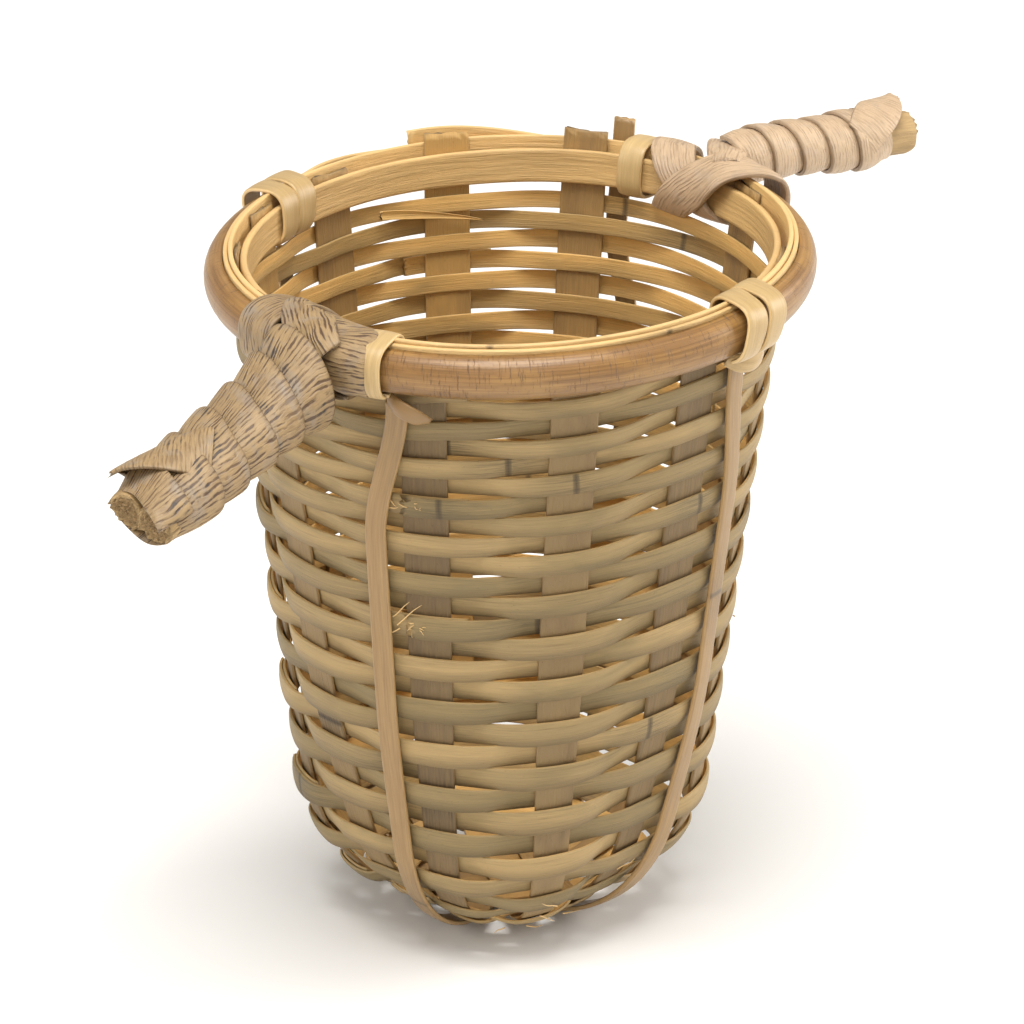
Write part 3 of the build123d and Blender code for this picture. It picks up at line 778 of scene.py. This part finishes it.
# ---------------------------------------------------------------- handles
class Handle:
    """A handle's axis, drooping outwards from the rim; side and up are square to it."""

    def __init__(self, angle, height, droop):
        cos, sin = math.cos(math.radians(angle)), math.sin(math.radians(angle))
        level, sink = math.cos(math.radians(droop)), math.sin(math.radians(droop))
        self.axis = np.array([cos * level, sin * level, -sink])
        self.side = np.array([-sin, cos, 0.0])
        self.up = np.cross(self.axis, self.side)
        self.start = seat(0.0, angle, 0.0)[0] + np.array([0, 0, height])

    def at(self, reach, turned, radius):
        """Points at a reach along the handle, an angle round it and a radius from its axis."""
        reach, turned, radius = np.broadcast_arrays(reach, turned, radius)
        return (self.start + self.axis * reach[..., None] + self.side * (np.cos(turned) * radius)[..., None]
                + self.up * (np.sin(turned) * radius)[..., None])


A = Handle(180.0, -.8, 17.0)    # dark, with two sticks
B = Handle(-8.0, 4.9, 8.0)      # pale, with one


def stick(name, handle, side, radius, first, last, seed):
    """A thin round stick with a rough cut end."""
    r = np.random.default_rng(seed)
    turned = np.linspace(0, 2 * math.pi, 40, endpoint=False)
    shape = 1 + .03 * np.sin(turned * 3 + r.uniform(0, 6)) + .02 * np.sin(turned * 7 + r.uniform(0, 6))
    rows = []
    for reach in np.concatenate([np.linspace(first, last - .5, 40), [last - .2]]):
        rows.append((reach, radius * shape * (1 if reach < last - .3 else .985)))
    sawn = len(rows)
    for k in np.linspace(.93, .05, 14):
        rough = r.uniform(-1, 1, len(turned)) * .5 * (1 - (1 - k) ** 4) + .30 * np.sin(turned * 2 + seed) * k
        rows.append((last + rough - .3 * (1 - k), radius * k * shape))
    grid = np.stack([handle.at(reach, turned, size) + handle.side * side for reach, size in rows])
    coords = np.ones(grid.shape)
    coords[..., 0] = np.array([np.mean(reach) for reach, _ in rows])[:, None]
    coords[..., 1] = turned * radius
    for i, (_, size) in list(enumerate(rows))[sawn:]:
        inner = np.mean(size)
        coords[i, :, 0] += 30 * (1 - inner / radius)
        coords[i, :, 1] = inner * (np.cos(turned) * 1.7 + np.sin(turned) * 2.3)
        coords[i, :, 2] = -.8 if inner < radius * .86 else .8
    solid(name, grid, coords, (-.15, seed, -50), CORE, name)


stick("handle_a_core_1", A, 3.13, 3.1, 7.3, 43.2, 71)
stick("handle_a_core_2", A, -3.13, 3.1, 7.3, 42.2, 72)
stick("handle_b_core", B, 0.0, 3.35, 14.0, 42.6, 73)

WRAP_THICK, WRAP_POWER, WRAP_ROUND = .5, 2.15, 33    # 33 mm of strip go into one turn


def wrap(name, handle, size, first, pitch, turns, sheet, proud, skew, start, handed, seed, material):
    """One long strip wound round the handle; each turn lies over the one before it, nearer the rim.

    sheet is the strip's width, proud how far its outer edge stands off, and skew how far a turn
    leans along the handle.
    """
    share = np.linspace(0, 1, int(turns * 72))
    wound = start + handed * share * turns * 2 * math.pi
    a = np.array([0, .0, .03, .10, .22, .36, .52, .68, .84, 1.0])
    puff = proud * (1 - a) ** 1.15 + .30 * np.sin(np.pi * np.clip(a * 1.25, 0, 1))
    outer_h = puff.copy()
    outer_h[0] -= WRAP_THICK * .55
    outer_h[1] -= WRAP_THICK * .1
    inner_a = a[::-1]
    inner_h = np.maximum((puff - WRAP_THICK)[::-1], -.08)
    inner_h[-1] = puff[0] - WRAP_THICK * .95
    section_a = np.concatenate([a, inner_a])
    section_h = np.concatenate([outer_h, inner_h])
    # side values of about .5 at the strip's edges bring in the bark's painted edge shade
    outer_side = np.interp(a, (0, .03, .10), (.5, .78, 1.0))
    section_side = np.concatenate([outer_side, np.where(inner_a < .02, .5, -1.0)])

    run = share * turns * WRAP_ROUND
    width = sheet * (1 + wander(run, .05, 9, seed)) * (1 - .35 * smooth(share, .84, 1))
    base = first + pitch * share * turns
    reach = base[:, None] + width[:, None] * section_a + skew * np.cos(wound + .6)[:, None]
    reach = reach + wander(run, .45, 6, seed + 1)[:, None] * (1 - section_a)
    hx, hy = size(reach)
    cos, sin = np.abs(np.cos(wound))[:, None], np.abs(np.sin(wound))[:, None]
    radius = ((cos / hx) ** WRAP_POWER + (sin / hy) ** WRAP_POWER) ** (-1 / WRAP_POWER)
    radius = radius + section_h * (1 + wander(run, .12, 7, seed + 2))[:, None]
    grid = handle.at(reach, wound[:, None], radius)
    coords = np.stack([np.broadcast_to(run[:, None], reach.shape), width[:, None] * section_a,
                       np.broadcast_to(section_side, reach.shape)], -1)
    if material == BARK_B:
        turn_grain(coords)
    solid(name, grid, coords, (.1, seed, 0), material, name)


def size_a(reach):
    """Half width and half height of what the dark bark is wound round."""
    grow = 1 - smooth(reach, 7, 20)
    root = 1 - smooth(reach, 5, 12)
    return 6.2 + .2 * grow + .5 * root, 3.6 + 1.3 * grow + 1.3 * root


def size_b(reach):
    """The same for the pale bark, which is round and swells beyond its middle."""
    swollen = .5 * smooth(reach, 22, 30) - .3 * smooth(reach, 33, 37)
    radius = 2.3 + 1.2 * smooth(reach, 2, 9) + swollen
    return radius, radius


wrap("handle_a_wrap", A, size_a, 5.2, 6.2, 5.35, 8.6, 1.75, 1.5, 2.4, -1, 81, BARK_A)
wrap("handle_b_wrap", B, size_b, 3.6, 6.0, 4.95, 8.4, .95, 1.2, 1.2, 1, 82, BARK_B)


def flap(name, handle, points, width, seed, material, tone=.1):
    """The loose end of a wound strip, through (reach, turned, radius, width share) points."""
    reach, turned, radius, share = eased(points, 60, 6)
    centre = handle.at(reach, turned, radius)
    outward = unit(centre - (handle.start + handle.axis * reach[:, None]))
    grid, coords = sweep(centre, outward, width * share, WRAP_THICK, flat_profile(.2, .05), cup=.6)
    grid = ragged(grid, 1, .7, seed)
    solid(name, grid, coords, (tone, seed, 0), material, None)


flap("handle_a_flap", A, [(29.5, .8, 5.9, 1), (32, 1.35, 5.2, 1), (34.5, 1.9, 5.8, 1), (37, 2.35, 7.0, .95),
                          (39.3, 2.65, 7.9, .9)], 8.2, 85, BARK_A, .5)
flap("handle_b_flap", B, [(29, 2.9, 4.6, 1), (32, 2.3, 5.0, 1), (35, 1.9, 5.3, 1), (38, 1.5, 5.6, .8),
                          (40.5, 1.3, 6.0, .35)], 7.0, 86, BARK_B)

# ---------------------------------------------------------------- loose fibres
FIBRE_RADIUS, FIBRE_ROWS = .11, 24
# Where a fibre starts (distance, direction), its length, and how much of the length goes upwards.
FRAYS = [(44.5, 194, 6.5, .7), (43.6, 193, 5.0, .9), (45.0, 195, 4.0, -.4), (24.5, 193, 3.0, .3),
         (22.8, 193.5, 2.4, -.3), (96, 238, 6.5, .5), (98, 232, 5.0, -.2), (101, 244, 6.0, .2),
         (104, 221, 4.5, -.2), (103, 229, 5.5, .3), (92, 262, 5.0, .4), (56, 300, 3.5, .5)]
for s, angle in tears:
    for k, up in enumerate((-.45, .1, .6, .3, -.2)):
        FRAYS.append((s + .7 * (k % 3 - 1), angle + 1.2, 1.6 + .5 * (k % 3), up))


def fibre(name, points, seed):
    """A thin fibre that tapers to its loose end."""
    centre = np.stack(eased(points, FIBRE_ROWS, 3), 1)
    turned = np.linspace(0, 2 * math.pi, 8, endpoint=False)
    profile = np.stack([np.cos(turned), np.sin(turned)], 1)
    taper = FIBRE_RADIUS * 2 * (1 - .8 * np.linspace(0, 1, FIBRE_ROWS) ** 2)
    outward = np.tile([.01, .01, 1.01], (FIBRE_ROWS, 1))
    grid, coords = sweep(centre, outward, taper, taper, profile)
    solid(name, grid, coords, (.2, seed, -50), SPLINT, None)


r = np.random.default_rng(5)
for count, (s0, angle0, length, up) in enumerate(FRAYS, 1):
    points = []
    for f in (0, 1 / 3, 2 / 3, 1):
        s = s0 - length * up * f + r.uniform(-.3, .3)
        angle = angle0 + length * 1.1 * f * (1 if count % 3 else -1)
        points.append(seat(s, angle, 1.35 + .9 * f * r.uniform(.5, 1.3))[0])
    fibre(f"loose_fibre_{count:02d}", points, count)

# ---------------------------------------------------------------- floor and lights
FLOOR_HALF = 6.0    # metres
corners = [(-1, -1), (1, -1), (1, 1), (-1, 1)]
floor_mesh = bpy.data.meshes.new("floor")
floor_mesh.from_pydata([(x * FLOOR_HALF, y * FLOOR_HALF, 0) for x, y in corners], [], [(0, 1, 2, 3)])
floor = bpy.data.objects.new("floor", floor_mesh)
bpy.context.scene.collection.objects.link(floor)
paper = Nodes("pale_floor")
paper.put(paper.shader.inputs["Base Color"], (.92, .915, .90, 1))
paper.put(paper.shader.inputs["Roughness"], .9)
floor_mesh.materials.append(paper.material)

world = bpy.data.worlds.new("studio")
bpy.context.scene.world = world
world.use_nodes = True
world.node_tree.nodes["Background"].inputs["Color"].default_value = (1.0, .985, .96, 1)
world.node_tree.nodes["Background"].inputs["Strength"].default_value = .38


def area(name, place, power):
    """A soft round lamp that faces the basket."""
    data = bpy.data.lights.new(name, "AREA")
    data.shape = "DISK"
    data.size = .8
    data.energy = power
    data.color = (1, .98, .95)
    light = bpy.data.objects.new(name, data)
    light.location = place
    light.rotation_euler = (Vector((0, 0, .06)) - Vector(place)).to_track_quat("-Z", "Y").to_euler()
    bpy.context.scene.collection.objects.link(light)


area("top", (-.26, -.17, 1.2), 15.0)
area("left", (-.95, .75, .5), 4.6)
area("right", (.95, -.70, .5), 10.0)
area("front", (-.9, -.75, .6), 1.6)

# ---------------------------------------------------------------- camera
AWAY, VIEW_WIDTH, SENSOR = 1000.0, 151.7, 36.0    # far off, with a long lens
AIM_RIGHT, AIM_DOWN = 1.41, 37.78                 # aims this far from the middle of the rim
elevation, azimuth = math.radians(21.4), math.radians(-50)
level, high = math.cos(elevation), math.sin(elevation)
back = np.array([math.sin(azimuth) * level, -math.cos(azimuth) * level, high])
right = np.array([math.cos(azimuth), math.sin(azimuth), 0])
upward = np.cross(back, right)
rim_middle = np.array([0, 0, RIM_H])
stand = rim_middle + back * AWAY
aim = rim_middle + right * AIM_RIGHT - upward * AIM_DOWN
camera_data = bpy.data.cameras.new("camera")
camera_data.sensor_width = SENSOR
camera_data.lens = SENSOR * AWAY / VIEW_WIDTH
camera_data.clip_end = 20
camera = bpy.data.objects.new("camera", camera_data)
camera.location = (stand * MM).tolist()
camera.rotation_euler = Vector((aim - stand).tolist()).to_track_quat("-Z", "Y").to_euler()
bpy.context.scene.collection.objects.link(camera)
bpy.context.scene.camera = camera
bpy.context.scene.view_settings.view_transform = "Standard"
